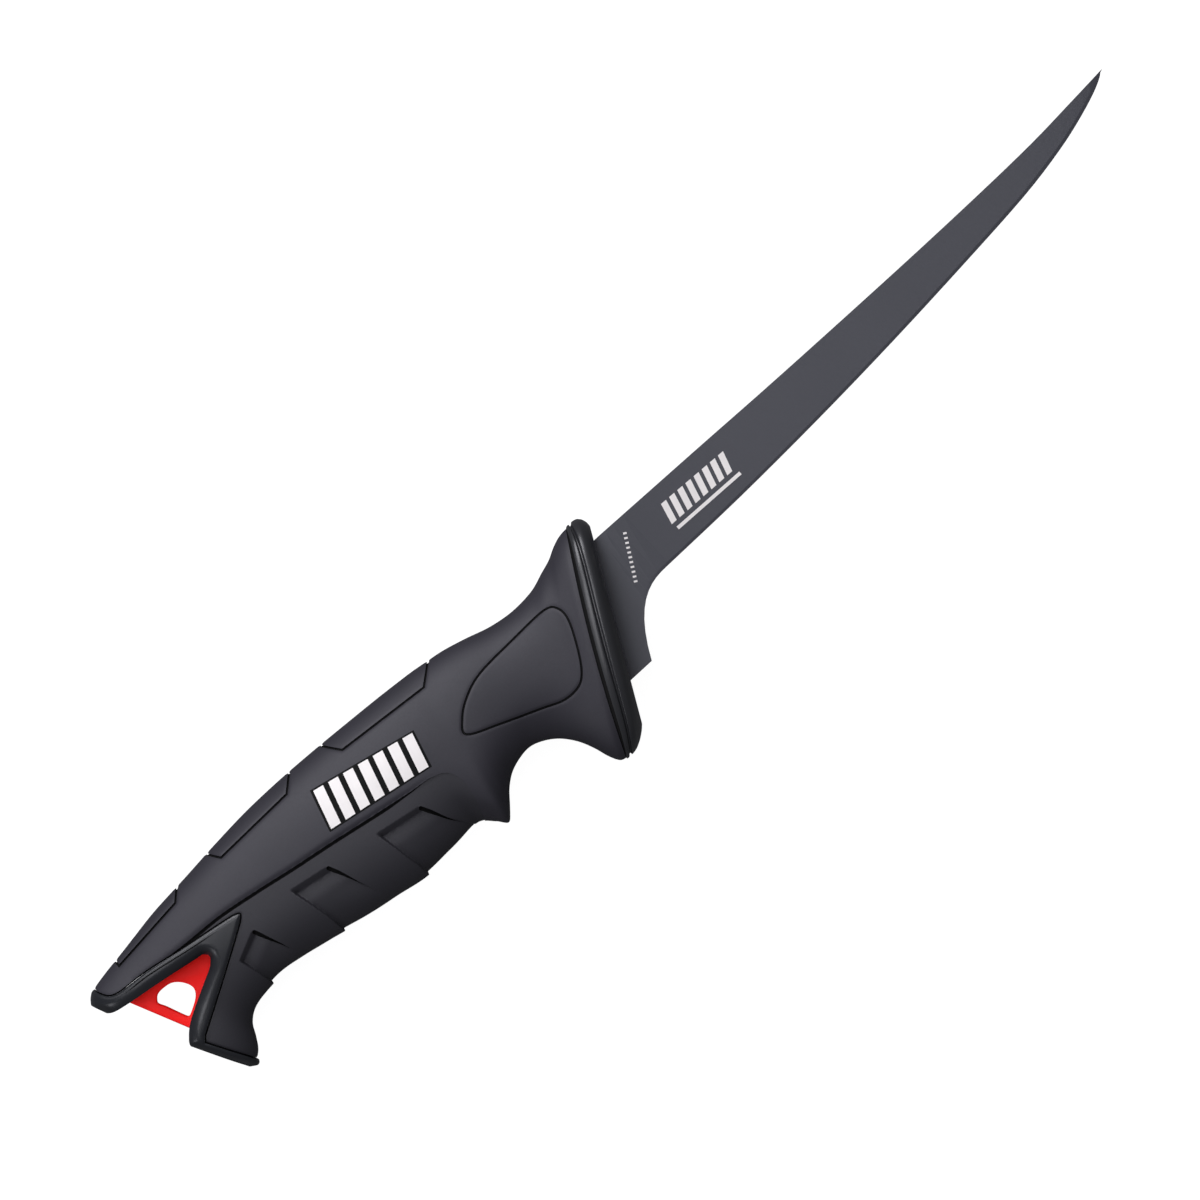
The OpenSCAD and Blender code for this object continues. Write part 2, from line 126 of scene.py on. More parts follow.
# Finishes
def floorFinish():
    # A pale sweep that glows for the camera alone, so that hardly any shadow shows
    material = bpy.data.materials.new("paleFloor")
    material.use_nodes = True
    shader = material.node_tree.nodes["Principled BSDF"]
    shader.inputs["Base Color"].default_value = (*studio["floorTone"], 1)
    shader.inputs["Roughness"].default_value = 1.0
    shader.inputs["Emission Color"].default_value = (1, 1, 1, 1)
    path = material.node_tree.nodes.new("ShaderNodeLightPath")
    glow = material.node_tree.nodes.new("ShaderNodeMath")
    glow.operation = "MULTIPLY"
    glow.inputs[1].default_value = studio["floorGlow"]
    material.node_tree.links.new(path.outputs["Is Camera Ray"], glow.inputs[0])
    material.node_tree.links.new(glow.outputs["Value"], shader.inputs["Emission Strength"])
    return material


def makeGrainGroup():
    # Fine texture of a mould or a coating: a height that also varies the gloss, and a mottle
    # for the colour
    group = bpy.data.node_groups.new("mouldGrain", "ShaderNodeTree")
    face = group.interface
    for label, start in (("Fine", 2500.0), ("Broad", 60.0), ("Stretch", 1.0)):
        face.new_socket(label, in_out="INPUT", socket_type="NodeSocketFloat").default_value = start
    for label in ("Height", "Mottle"):
        face.new_socket(label, in_out="OUTPUT", socket_type="NodeSocketFloat")
    make, wire = group.nodes.new, group.links.new
    given, result = make("NodeGroupInput"), make("NodeGroupOutput")
    place = make("ShaderNodeTexCoord")
    squeeze = make("ShaderNodeVectorMath")
    squeeze.operation = "MULTIPLY"
    factors = make("ShaderNodeCombineXYZ")
    factors.inputs["X"].default_value = 1.0
    factors.inputs["Z"].default_value = 1.0
    wire(given.outputs["Stretch"], factors.inputs["Y"])
    wire(place.outputs["Object"], squeeze.inputs[0])
    wire(factors.outputs["Vector"], squeeze.inputs[1])
    fine, broad = make("ShaderNodeTexNoise"), make("ShaderNodeTexNoise")
    fine.inputs["Detail"].default_value = 2.0
    broad.inputs["Detail"].default_value = 3.0
    for noise, label in ((fine, "Fine"), (broad, "Broad")):
        wire(squeeze.outputs["Vector"], noise.inputs["Vector"])
        wire(given.outputs[label], noise.inputs["Scale"])
    wire(fine.outputs["Fac"], result.inputs["Height"])
    wire(broad.outputs["Fac"], result.inputs["Mottle"])
    return group


def makeFinish(name, look):
    material = bpy.data.materials.new(name)
    material.use_nodes = True
    tree = material.node_tree
    make, wire = tree.nodes.new, tree.links.new
    shader = tree.nodes["Principled BSDF"]
    for label, value in look.get("shader", {}).items():
        shader.inputs[label].default_value = value
    grain = make("ShaderNodeGroup")
    grain.node_tree = grainGroup
    grain.inputs["Fine"].default_value = look["fine"]
    grain.inputs["Broad"].default_value = look["broad"]
    grain.inputs["Stretch"].default_value = look.get("stretch", 1.0)
    tone = make("ShaderNodeMix")
    tone.data_type = "RGBA"
    tone.inputs["A"].default_value = (*look["dark"], 1)
    tone.inputs["B"].default_value = (*look["light"], 1)
    wire(grain.outputs["Mottle"], tone.inputs["Factor"])
    wire(tone.outputs["Result"], shader.inputs["Base Color"])
    gloss = make("ShaderNodeMapRange")
    gloss.inputs["To Min"].default_value = look["rough"][0]
    gloss.inputs["To Max"].default_value = look["rough"][1]
    wire(grain.outputs["Height"], gloss.inputs["Value"])
    wire(gloss.outputs["Result"], shader.inputs["Roughness"])
    bump = make("ShaderNodeBump")
    bump.inputs["Strength"].default_value = look["bump"]
    bump.inputs["Distance"].default_value = look["deep"] * mm
    wire(grain.outputs["Height"], bump.inputs["Height"])
    wire(bump.outputs["Normal"], shader.inputs["Normal"])
    return material


# Darkest and lightest colour, range of roughness, waves of grain and of mottle in a metre,
# strength of the bump and its depth in mm
finishLooks = {
    "bladeCoating": {
        "dark": (0.037, 0.038, 0.047), "light": (0.046, 0.047, 0.057), "rough": (0.5, 0.62),
        "fine": 3000.0, "broad": 45.0, "stretch": 0.35, "bump": 0.25, "deep": 0.02,
    },
    "coreBlack": {
        "dark": (0.002, 0.002, 0.002), "light": (0.003, 0.003, 0.003), "rough": (0.7, 0.8),
        "fine": 2500.0, "broad": 60.0, "bump": 0.2, "deep": 0.02,
        "shader": {"Specular IOR Level": 0.15},
    },
    "trimBlack": {
        "dark": (0.009, 0.010, 0.012), "light": (0.012, 0.013, 0.016), "rough": (0.30, 0.38),
        "fine": 3500.0, "broad": 80.0, "bump": 0.15, "deep": 0.015,
        "shader": {"Specular IOR Level": 0.38},
    },
    # A lighter copy of the trim's black for the collar: painted light, where more light falls on the
    # collar than on the fork frame
    "litCollarBlack": {
        "dark": (0.014, 0.0145, 0.016), "light": (0.019, 0.0195, 0.022), "rough": (0.28, 0.36),
        "fine": 3500.0, "broad": 80.0, "bump": 0.15, "deep": 0.015,
    },
    "insertRed": {
        "dark": (0.90, 0.006, 0.006), "light": (0.96, 0.010, 0.008), "rough": (0.5, 0.6),
        "fine": 2500.0, "broad": 90.0, "bump": 0.12, "deep": 0.015,
        # The emission is painted light: a faint red glow that makes the insert brighter than the lamps
        # light it
        "shader": {"Specular IOR Level": 0.2, "Emission Color": (1.0, 0.015, 0.008, 1.0),
                   "Emission Strength": 0.12},
    },
    "gripRubber": {
        "dark": (0.0135, 0.0125, 0.018), "light": (0.0195, 0.018, 0.026), "rough": (0.55, 0.68),
        "fine": 2600.0, "broad": 70.0, "bump": 0.35, "deep": 0.03,
    },
    # The finger grip's rubber, a touch darker and less blue than the main grip's: partly its own tone,
    # partly painted shade of the lower grip
    "shadedFingerRubber": {
        "dark": (0.012, 0.0115, 0.0155), "light": (0.0175, 0.0165, 0.022), "rough": (0.55, 0.68),
        "fine": 2600.0, "broad": 70.0, "bump": 0.35, "deep": 0.03,
    },
    "padRubber": {
        "dark": (0.0105, 0.010, 0.0135), "light": (0.015, 0.014, 0.019), "rough": (0.58, 0.7),
        "fine": 2200.0, "broad": 70.0, "bump": 0.4, "deep": 0.03,
    },
    "paleMark": {
        "dark": (0.67, 0.64, 0.62), "light": (0.79, 0.755, 0.73), "rough": (0.35, 0.45),
        "fine": 2500.0, "broad": 200.0, "bump": 0.1, "deep": 0.01,
    },
}
grainGroup = makeGrainGroup()
finishes = {name: makeFinish(name, look) for name, look in finishLooks.items()}
print("finishes ready")


# Tools for the shapes
through = 40.0     # half the height of a tool that goes right through the handle, mm
cutSeam = 0.0005   # points closer than this are one after a cut, mm
rollSeam = 0.0001  # the same where a sheet is rolled up, mm
overrun = 2.0      # how far an inner form runs past the ends of the piece it cuts, mm
toolGrid = {"perRib": 4, "corners": 64}
bedGrid = {"perRib": 6, "corners": 80}
fineGrid = {"perRib": 12, "corners": 144}


def bend(p0, p1, p2, p3, t):
    # Point on a smooth curve between the two middle points
    return [b + t / 2 * (c - a + t * (2 * a - 5 * b + 4 * c - d + t * (3 * b - 3 * c + d - a)))
            for a, b, c, d in zip(p0, p1, p2, p3)]


def along(table, u):
    # Point on the smooth curve through the table's rows, u rows from its start
    last = len(table) - 1
    i = min(int(u), last - 1)
    return bend(table[max(i - 1, 0)], table[i], table[i + 1], table[min(i + 2, last)], u - i)


def curve(table, steps=8):
    return [along(table, k / steps) for k in range((len(table) - 1) * steps + 1)]


def loop(points, steps=8):
    n = len(points)
    return [bend(points[i - 1], points[i], points[(i + 1) % n], points[(i + 2) % n], k / steps)
            for i in range(n) for k in range(steps)]


def keep(name, bm):
    mesh = bpy.data.meshes.new(name)
    bm.to_mesh(mesh)
    bm.free()
    piece = bpy.data.objects.new(name, mesh)
    bpy.context.scene.collection.objects.link(piece)
    return piece


def prism(name, outline, low=-through, high=through, finish=None):
    bm = bmesh.new()
    face = bm.faces.new([bm.verts.new(onKnife(x, y, low)) for x, y in outline])
    grown = bmesh.ops.extrude_face_region(bm, geom=[face])["geom"]
    tops = [g for g in grown if isinstance(g, bmesh.types.BMVert)]
    bmesh.ops.translate(bm, verts=tops, vec=(0, 0, (high - low) * mm))
    bmesh.ops.recalc_face_normals(bm, faces=bm.faces)
    piece = keep(name, bm)
    if finish:
        piece.data.materials.append(finishes[finish])
    return piece


def cut(piece, tool, operation="DIFFERENCE", keepTool=False):
    # Cuts exactly, then merges the tiny faces that a cut leaves
    step = piece.modifiers.new("cut", "BOOLEAN")
    step.object, step.operation, step.solver = tool, operation, "EXACT"
    step.material_mode = "TRANSFER"
    shaped = piece.evaluated_get(bpy.context.evaluated_depsgraph_get())
    mesh = bpy.data.meshes.new_from_object(shaped)
    bm = bmesh.new()
    bm.from_mesh(mesh)
    bmesh.ops.remove_doubles(bm, verts=bm.verts, dist=cutSeam * mm)
    bmesh.ops.dissolve_degenerate(bm, edges=bm.edges, dist=cutSeam * mm)
    bm.to_mesh(mesh)
    bm.free()
    piece.modifiers.clear()
    piece.data = mesh
    if not keepTool:
        bpy.data.objects.remove(tool)
    return piece


def widen(outline, by, sharpest=0.5):
    # Moves a closed outline outward, or inward with a negative amount, and blunts its sharpest corners
    points = np.array(outline, float)
    before, after = np.roll(points, 1, axis=0), np.roll(points, -1, axis=0)
    area = np.sum(points[:, 0] * after[:, 1] - after[:, 0] * points[:, 1])
    sides = [(b - a) / np.maximum(np.linalg.norm(b - a, axis=1, keepdims=True), 1e-9)
             for a, b in ((before, points), (points, after))]
    outs = [np.stack([s[:, 1], -s[:, 0]], 1) * np.sign(area) for s in sides]
    mean = outs[0] + outs[1]
    mean /= np.maximum(np.linalg.norm(mean, axis=1, keepdims=True), 1e-9)
    stretch = 1 / np.maximum(np.sum(mean * outs[0], axis=1), sharpest)
    return (points + mean * stretch[:, None] * by).tolist()


def ribbon(line, half, leads, tip=0.08):
    # A band along an open line that narrows over the given lengths to a share of its width at its tips
    line = np.array(line, float)
    run = np.concatenate([[0], np.cumsum(np.hypot(*np.diff(line, axis=0).T))])
    way = np.gradient(line, axis=0)
    way /= np.linalg.norm(way, axis=1, keepdims=True)
    size = half * np.clip(np.minimum(run / leads[0], (run[-1] - run) / leads[1]), tip, 1)
    out = np.stack([-way[:, 1], way[:, 0]], 1) * size[:, None]
    return (line + out).tolist() + (line - out)[::-1].tolist()


def farFrom(places, lines):
    # Distance of each place to the nearest of the drawn lines, in mm
    least = np.full(len(places), 1e9)
    for line in lines:
        line = np.array(line, float)
        for a, b in zip(line[:-1], line[1:]):
            way = b - a
            t = np.clip(((places - a) @ way) / max(way @ way, 1e-9), 0, 1)
            least = np.minimum(least, np.hypot(*(places - a - t[:, None] * way).T))
    return least


def smoothStep(value):
    value = np.clip(value, 0, 1)
    return value * value * (3 - 2 * value)


def dress(piece, finish, slot, *replaced, sharp=38):
    # Shading, finish, and what the frame has to know; edges sharper than the angle stay sharp
    mesh = piece.data
    for polygon in mesh.polygons:
        polygon.use_smooth = True
    mesh.set_sharp_from_angle(angle=math.radians(sharp))
    if len(mesh.materials):
        mesh.materials[0] = finishes[finish]
    else:
        mesh.materials.append(finishes[finish])
    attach(piece, "root")
    if replaced:
        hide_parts(*replaced)


# The handle's form
handle = {
    "length": 154.0, "height": 37.5, "thick": 25.0,
    "guardLength": 53.6, "guardWidth": 27.0, "guardThick": 5.4, "rake": 27.8,
    "guardSet": 0.3, "guardMid": 0.38,   # shares of its thickness and length that place its middle
    "rimStand": 0.4, "flangeGap": -0.02,
    "squareness": 2.35,         # of the sections: 2 is an ellipse, more is squarer
    "bow": 0.22, "bowRib": 5,   # how far the sides of the guard and the flare behind it bow back
    "shrink": 0.012,            # keeps the smooth skin inside the facets of the solids, mm
}
leanX, leanY = math.sin(math.radians(handle["rake"])), math.cos(math.radians(handle["rake"]))
guardDown = handle["guardLength"] * handle["guardMid"]
guardCentre = (-handle["guardThick"] * handle["guardSet"] - guardDown * leanX, -guardDown * leanY)


def onGuard(up, out):
    # A place on the guard, up along its lean and out from its front face, seen from the side
    return guardCentre[0] + up * leanX + out / leanY, guardCentre[1] + up * leanY


def onHandle(shares):
    return [[-x * handle["length"], y * handle["height"]] for x, y in shares]


# Back along, back down, belly along, belly up and half thickness, as shares of the way to the neck
flareShares = [
    [0.09, 0.02, 0.13, 0.04, 0.03], [0.20, 0.09, 0.25, 0.20, 0.24], [0.34, 0.26, 0.35, 0.42, 0.48],
    [0.50, 0.51, 0.50, 0.65, 0.70], [0.71, 0.72, 0.73, 0.86, 0.88],
]
# Back, belly and half thickness, as shares of the handle's length, height and thickness
ribShares = [
    [0.130, 0.008, 0.261, -0.701, 0.420], [0.169, -0.003, 0.282, -0.669, 0.416],
    [0.208, 0.019, 0.303, -0.675, 0.424], [0.247, 0.067, 0.326, -0.707, 0.440],
    [0.282, 0.104, 0.345, -0.765, 0.456], [0.312, 0.123, 0.362, -0.845, 0.468],
    [0.334, 0.136, 0.379, -0.923, 0.476], [0.354, 0.144, 0.392, -0.869, 0.480],
    [0.377, 0.152, 0.406, -0.810, 0.484], [0.403, 0.160, 0.423, -0.800, 0.492],
    [0.455, 0.173, 0.468, -0.824, 0.500], [0.519, 0.187, 0.519, -0.838, 0.500],
    [0.584, 0.195, 0.575, -0.799, 0.500], [0.649, 0.192, 0.633, -0.770, 0.488],
    [0.714, 0.173, 0.688, -0.722, 0.464], [0.779, 0.147, 0.744, -0.680, 0.440],
    [0.844, 0.123, 0.789, -0.690, 0.416], [0.890, 0.093, 0.825, -0.714, 0.400],
    [0.922, 0.071, 0.846, -0.770, 0.396], [0.945, 0.057, 0.857, -0.850, 0.400],
    [0.964, 0.044, 0.868, -0.918, 0.404], [0.984, 0.025, 0.884, -0.962, 0.400],
    [0.996, -0.005, 0.897, -0.962, 0.380], [1.003, -0.040, 0.908, -0.950, 0.330],
]


def realRib(r):
    return [-r[0] * handle["length"], r[1] * handle["height"],
            -r[2] * handle["length"], r[3] * handle["height"], r[4] * handle["thick"]]


def makeRibs():
    # Ribs in mm, from the flange behind the guard over the flare to the butt
    stand = handle["rimStand"]
    half = handle["guardLength"] / 2 - stand
    behind = -handle["guardThick"] - handle["flangeGap"]
    flange = [*onGuard(half, behind), *onGuard(-half, behind), handle["guardWidth"] / 2 - stand]
    neck = realRib(ribShares[0])
    flare = [[f + s * (n - f) for f, s, n in zip(flange, shares, neck)] for shares in flareShares]
    return [flange, *flare, *map(realRib, ribShares)]


ribs = makeRibs()
lastRib = len(ribs) - 1
nearly = 1e-5   # shares that differ by less are the same


def turned(v):
    # Cosine round a section, and how far it bulges sideways, from a share of the way round.
    # The last corner is the first again.
    angle = np.where(v > 1 - nearly, 0.0, 2 * math.pi * v)
    c, s = np.cos(angle), np.sin(angle)
    power = handle["squareness"]
    return c, np.sign(np.round(s, 9)) * np.maximum(0.0, 1 - np.abs(c) ** power) ** (1 / power)


def formPoints(u, v, grow):
    # u runs from the guard to the butt in ribs, v once round from the back
    table = np.array(ribs)
    i = np.clip(u.astype(int), 0, lastRib - 1)
    t = (u - i)[:, None]
    a, b, c, d = table[np.maximum(i - 1, 0)], table[i], table[i + 1], table[np.minimum(i + 2, lastRib)]
    row = b + t / 2 * (c - a + t * (2 * a - 5 * b + 4 * c - d + t * (3 * b - 3 * c + d - a)))
    run = row[:, :2] - row[:, 2:4]
    way = run / np.linalg.norm(run, axis=1, keepdims=True)
    turn, bulge = turned(v)
    place = (row[:, :2] + row[:, 2:4]) / 2 + turn[:, None] * (run / 2 + way * grow[:, None])
    bow = handle["bow"] * handle["guardThick"] * np.maximum(0, 1 - u / handle["bowRib"]) ** 2
    return np.column_stack([place[:, 0] - bow * (1 - turn ** 2), place[:, 1], (row[:, 4] + grow) * bulge])


def rolled(bm, name):
    # Closes a sheet that has been rolled up, with a cap at each end
    bmesh.ops.remove_doubles(bm, verts=bm.verts, dist=rollSeam * mm)
    bmesh.ops.holes_fill(bm, edges=[e for e in bm.edges if e.is_boundary])
    bmesh.ops.recalc_face_normals(bm, faces=bm.faces)
    return keep(name, bm)


def rollForm(name, grow=0.0, ends=(0, lastRib), perRib=8, corners=96, sink=None, lines=(), lead=0.0,
             reach=(2.2, 1.0)):
    # A flat sheet in (rib, turn), refined once within each reach of the drawn lines, rolled up into
    # the handle's form
    bm = bmesh.new()
    bmesh.ops.create_grid(bm, x_segments=int((ends[1] - ends[0]) * perRib), y_segments=corners, size=0.5)

    def solve():
        flat = np.array([(v.co.x + 0.5, v.co.y + 0.5) for v in bm.verts])
        return ends[0] + (ends[1] - ends[0]) * flat[:, 0], flat[:, 1]

    for near in reach if lines else ():
        u, v = solve()
        bm.verts.index_update()
        close = farFrom(formPoints(u, v, 0 * u)[:, :2], lines) < near
        edges = [e for e in bm.edges if close[e.verts[0].index] or close[e.verts[1].index]]
        bmesh.ops.subdivide_edges(bm, edges=edges, cuts=1, use_grid_fill=True)
    u, v = solve()
    sunk = sink(formPoints(u, v, 0 * u)[:, :2], u) if sink else 0 * u
    places = formPoints(u, v, grow - handle["shrink"] - sunk)
    places[:, 0] += lead * (u <= ends[0] + nearly) - lead * (u >= ends[1] - nearly)
    for vert, place in zip(bm.verts, places.tolist()):
        vert.co = onKnife(*place)
    return rolled(bm, name)


# Lines between the mouldings, as shares of the handle's length and height
forkOuter = [
    [0.986, 0.060], [0.982, -0.020], [0.964, -0.088], [0.909, -0.112], [0.844, -0.160], [0.779, -0.203],
    [0.758, -0.222], [0.755, -0.246], [0.779, -0.312], [0.844, -0.469], [0.909, -0.622],
]
forkFoot = [[0.916, -0.656], [0.886, -0.880], [0.872, -1.000]]
forkHeel = [[0.894, -0.940]]
forkInner = [
    [0.935, -0.613], [0.930, -0.577], [0.909, -0.501], [0.857, -0.387], [0.838, -0.347], [0.827, -0.300],
    [0.832, -0.262], [0.844, -0.253], [0.909, -0.208], [0.955, -0.181], [0.985, -0.155], [0.999, -0.110],
]
crease = [
    [0.930, -0.105], [0.850, -0.140], [0.779, -0.157], [0.714, -0.197], [0.649, -0.245], [0.584, -0.288],
    [0.519, -0.336], [0.455, -0.381], [0.416, -0.405], [0.394, -0.455], [0.386, -0.560], [0.393, -0.700],
    [0.408, -0.860],
]
spinePads = {
    "rear": [[0.934, 0.024], [0.812, 0.074], [0.796, 0.139], [0.796, 0.300], [0.934, 0.300]],
    "middle": [[0.719, 0.088], [0.587, 0.102], [0.566, 0.181], [0.566, 0.360], [0.732, 0.360],
               [0.732, 0.160]],
    "front": [[0.485, 0.072], [0.337, 0.018], [0.308, 0.117], [0.308, 0.360], [0.504, 0.360],
              [0.504, 0.173]],
}
thumbPad = [
    [0.337, -0.360], [0.327, -0.275], [0.302, -0.200], [0.264, -0.146], [0.195, -0.130], [0.135, -0.127],
    [0.118, -0.175], [0.118, -0.270], [0.136, -0.430], [0.154, -0.545], [0.172, -0.598], [0.200, -0.600],
    [0.234, -0.544], [0.290, -0.450],
]
# Corners outside the handle that close the lines into outlines
forkBack = [[0.872, -1.3], [1.1, -1.3], [1.1, 0.3], [0.986, 0.3]]
horn = [[1.010, -0.020], [1.000, 0.060]]
fingerBack = [[0.408, -1.3], [1.1, -1.3], [1.1, -0.105]]
insertBack = [[1.01, -0.9]]

forkLine = curve(onHandle(forkOuter)) + onHandle(forkFoot)
forkZone = forkLine + onHandle(forkBack)
innerLine = curve(onHandle(forkInner))
forkOutline = forkLine + onHandle(forkHeel) + innerLine + onHandle(horn)
creaseLine = curve(onHandle(crease))
fingerZone = creaseLine + onHandle(fingerBack)
thumbLine = loop(onHandle(thumbPad), 6)
padLines = {name: onHandle(shares) for name, shares in spinePads.items()}


def closed(line):
    return [*line, line[0]]


# Grips and pads
grips = {
    "wall": 2.9, "padThick": 1.5, "padGap": 0.03,
    "slitWidth": 0.5, "slitDeep": 0.45,       # slit round each inlaid pad, its walls painted shade in the core's black
    "lipWidth": 0.9, "lipDeep": 0.24,         # how the rubber rounds into a line
    "creaseRoll": 1.4, "creaseDeep": 0.5,     # how the main grip rolls over at the finger grip
    # slits along the crease and down each panel's front, their walls painted shade in the core's black:
    # half width, depth, how they taper
    "creaseSlit": 0.75, "creaseUnder": 1.8, "creaseLead": 12.0, "creaseFrom": (-64.0, -20.0),
    "frontSlit": 0.48, "frontUnder": 2.25, "frontRun": 8.5, "frontLead": 7.0, "topLead": 0.1,
    # soft hollow between the spur and the finger grip, and where it fades in on the way down
    "valley": [(-63.5, -22.5), (-61.3, -28.0), (-58.5, -33.5)], "valleyWidth": 3.2, "valleyDeep": 0.5,
    "valleyTop": -21.0, "valleyFade": 8.0,
    "creaseEnds": (-60.0, -76.0),             # where the crease starts, and where it is at full depth
    "creaseDrop": 0.6, "fingerFrom": 12.5, "fingerFull": 16.0, "fingerLead": 0.5,
    # depth of a panel, its sloped top, how its floor rises again below, and its rims
    "panelDeep": 1.2, "panelSlope": 1.8, "panelRise": 0.45, "panelRun": 4.0, "panelRim": 0.35,
    "panelFade": (6.0, 7.0),
    "forkGap": 0.04, "forkSlit": 0.34, "forkUnder": 0.9,   # at the fork frame: gap, and a slit whose walls are painted shade in the core's black
}
padEdges = [closed(line) for line in (*padLines.values(), thumbLine)]


def lipSink(flat, lines, width, deep):
    # How the skin rounds down into the lines
    share = np.clip(1 - farFrom(flat, lines) / width, 0, 1)
    return deep * share ** 2


def valleySink(flat):
    near = smoothStep(1 - farFrom(flat, [grips["valley"]]) / grips["valleyWidth"])
    below = smoothStep((grips["valleyTop"] - flat[:, 1]) / grips["valleyFade"])
    return grips["valleyDeep"] * near * below


def mainSink(flat, u):
    start, full = grips["creaseEnds"]
    roll = smoothStep((flat[:, 0] - start) / (full - start))
    return (lipSink(flat, padEdges, grips["lipWidth"], grips["lipDeep"])
            + lipSink(flat, [creaseLine], grips["creaseRoll"], grips["creaseDeep"]) * roll
            + valleySink(flat)
            + lipSink(flat, [forkLine], grips["lipWidth"], grips["lipDeep"]))


def shadeSlitTool(line):
    # A thin ribbon over the line, as deep as the slit, in the core's black, which the cut leaves on the
    # slit's walls as painted shade
    half = grips["slitWidth"] / 2
    tool = prism("slit", widen(line, half), finish="coreBlack")
    cut(tool, prism("inside", widen(line, -half), -through - 1, through + 1, finish="coreBlack"))
    return cut(tool, rollForm("under", -grips["slitDeep"], lead=overrun, **toolGrid))


def shadeCutTool(outline, deep):
    # Everything inside the outline down to a depth under the form, in the core's black, which the cut
    # leaves on the walls as painted shade
    tool = prism("edge", outline, finish="coreBlack")
    return cut(tool, rollForm("under", -deep, lead=overrun, **toolGrid))


def makeMainGrip():
    skin = rollForm("mainGrip", sink=mainSink, lines=[*padEdges, creaseLine, forkLine])
    skin.data.materials.append(finishes["gripRubber"])
    inner = rollForm("inner", -grips["wall"], lead=overrun, **toolGrid)
    bed = rollForm("bed", -grips["padThick"], lead=overrun, **bedGrid)
    pads = {}
    for name, line in (*padLines.items(), ("thumb", thumbLine)):
        pad = prism("pad" + name, line)
        cut(pad, skin, "INTERSECT", keepTool=True)
        cut(pad, bed, keepTool=True)
        pocket = prism("pocket", widen(line, grips["padGap"]))
        cut(pocket, bed, keepTool=True)
        cut(skin, pocket)
        slit = shadeSlitTool(line)
        cut(skin, slit, keepTool=True)
        cut(pad, slit)
        pads[name] = pad
    cut(skin, inner)
    cut(skin, prism("fingerCut", fingerZone))
    cut(skin, prism("forkCut", widen(forkZone, grips["forkGap"])))
    cut(skin, shadeCutTool(widen(forkZone, grips["forkSlit"]), grips["forkUnder"]))
    bpy.data.objects.remove(bed)
    return skin, pads


mainGrip, pads = makeMainGrip()
dress(mainGrip, "gripRubber", "main_rubber", "main_grip")
for name in padLines:
    pads[name].name = "spinePad" + name.capitalize()
    dress(pads[name], "padRubber", "pad_rubber", "spine_pad_" + name)
print("main grip and spine pads ready")


def halfOf(piece, side, name):
    bm = bmesh.new()
    bm.from_mesh(piece.data)
    bmesh.ops.bisect_plane(bm, geom=bm.verts[:] + bm.edges[:] + bm.faces[:], plane_co=onKnife(0, 0, 0),
                           plane_no=(0, 0, -side), clear_outer=True)
    half = keep(name, bm)
    for material in piece.data.materials:
        half.data.materials.append(material)
    return half


for side, name, node in ((1, "thumbPadLeft", "thumb_pad_left"), (-1, "thumbPadRight", "thumb_pad_right")):
    dress(halfOf(pads["thumb"], side, name), "padRubber", "pad_rubber", node)
bpy.data.objects.remove(pads["thumb"])
print("thumb pads ready")

# Sunk panels of the finger grip: rear edge and front edge from the top down, mm
panels = [
    {"rear": [(-123.2, -16.6), (-122.6, -18.5), (-122.0, -21.0), (-121.3, -24.5), (-120.9, -30.0)],
     "front": [(-116.5, -13.4), (-115.0, -17.0), (-113.5, -20.5), (-112.6, -24.0), (-111.6, -30.0)]},
    {"rear": [(-104.3, -12.4), (-103.0, -18.0), (-102.2, -22.0), (-101.8, -24.5), (-101.4, -34.0)],
     "front": [(-94.8, -14.1), (-93.0, -18.0), (-91.5, -22.0), (-90.0, -26.0), (-87.0, -34.0)]},
    {"rear": [(-81.7, -16.2), (-80.8, -21.0), (-80.1, -26.0), (-79.6, -28.5), (-79.2, -36.0)],
     "front": [(-70.7, -18.2), (-69.0, -21.5), (-67.3, -25.0), (-65.0, -28.5), (-61.5, -34.0)]},
]


def fingerSink(flat, u):
    fade = smoothStep((u - grips["fingerFrom"]) / (grips["fingerFull"] - grips["fingerFrom"]))
    lip = lipSink(flat, [forkLine], grips["lipWidth"], grips["lipDeep"])
    return grips["creaseDrop"] * fade + lip + valleySink(flat)


def panelSink(flat, u):
    # Each panel has a sloped top and a floor that rises again and runs out at the front of the belly
    deep = fingerSink(flat, u)
    for panel in panels:
        rear, front = np.array(panel["rear"]), np.array(panel["front"])
        x, y = flat[:, 0], flat[:, 1]
        rearX = np.interp(-y, -rear[:, 1], rear[:, 0])
        frontX = np.interp(-y, -front[:, 1], front[:, 0])
        part = (x - rearX) / (frontX - rearX)
        down = rear[0, 1] + (x - rear[0, 0]) * (front[0, 1] - rear[0, 1]) / (front[0, 0] - rear[0, 0]) - y
        inside = (part > 0) & (part < 1) & (down > 0)
        rim = smoothStep(farFrom(flat, [panel["rear"], panel["front"]]) / grips["panelRim"])
        rise = grips["panelRise"] * smoothStep((down - grips["panelSlope"]) / grips["panelRun"])
        slope = np.clip(down / grips["panelSlope"], 0, 1)
        fade = 1 - smoothStep(part) * smoothStep((down - grips["panelFade"][0]) / grips["panelFade"][1])
        deep = deep + inside * rim * slope * fade * (grips["panelDeep"] - rise)
    return deep


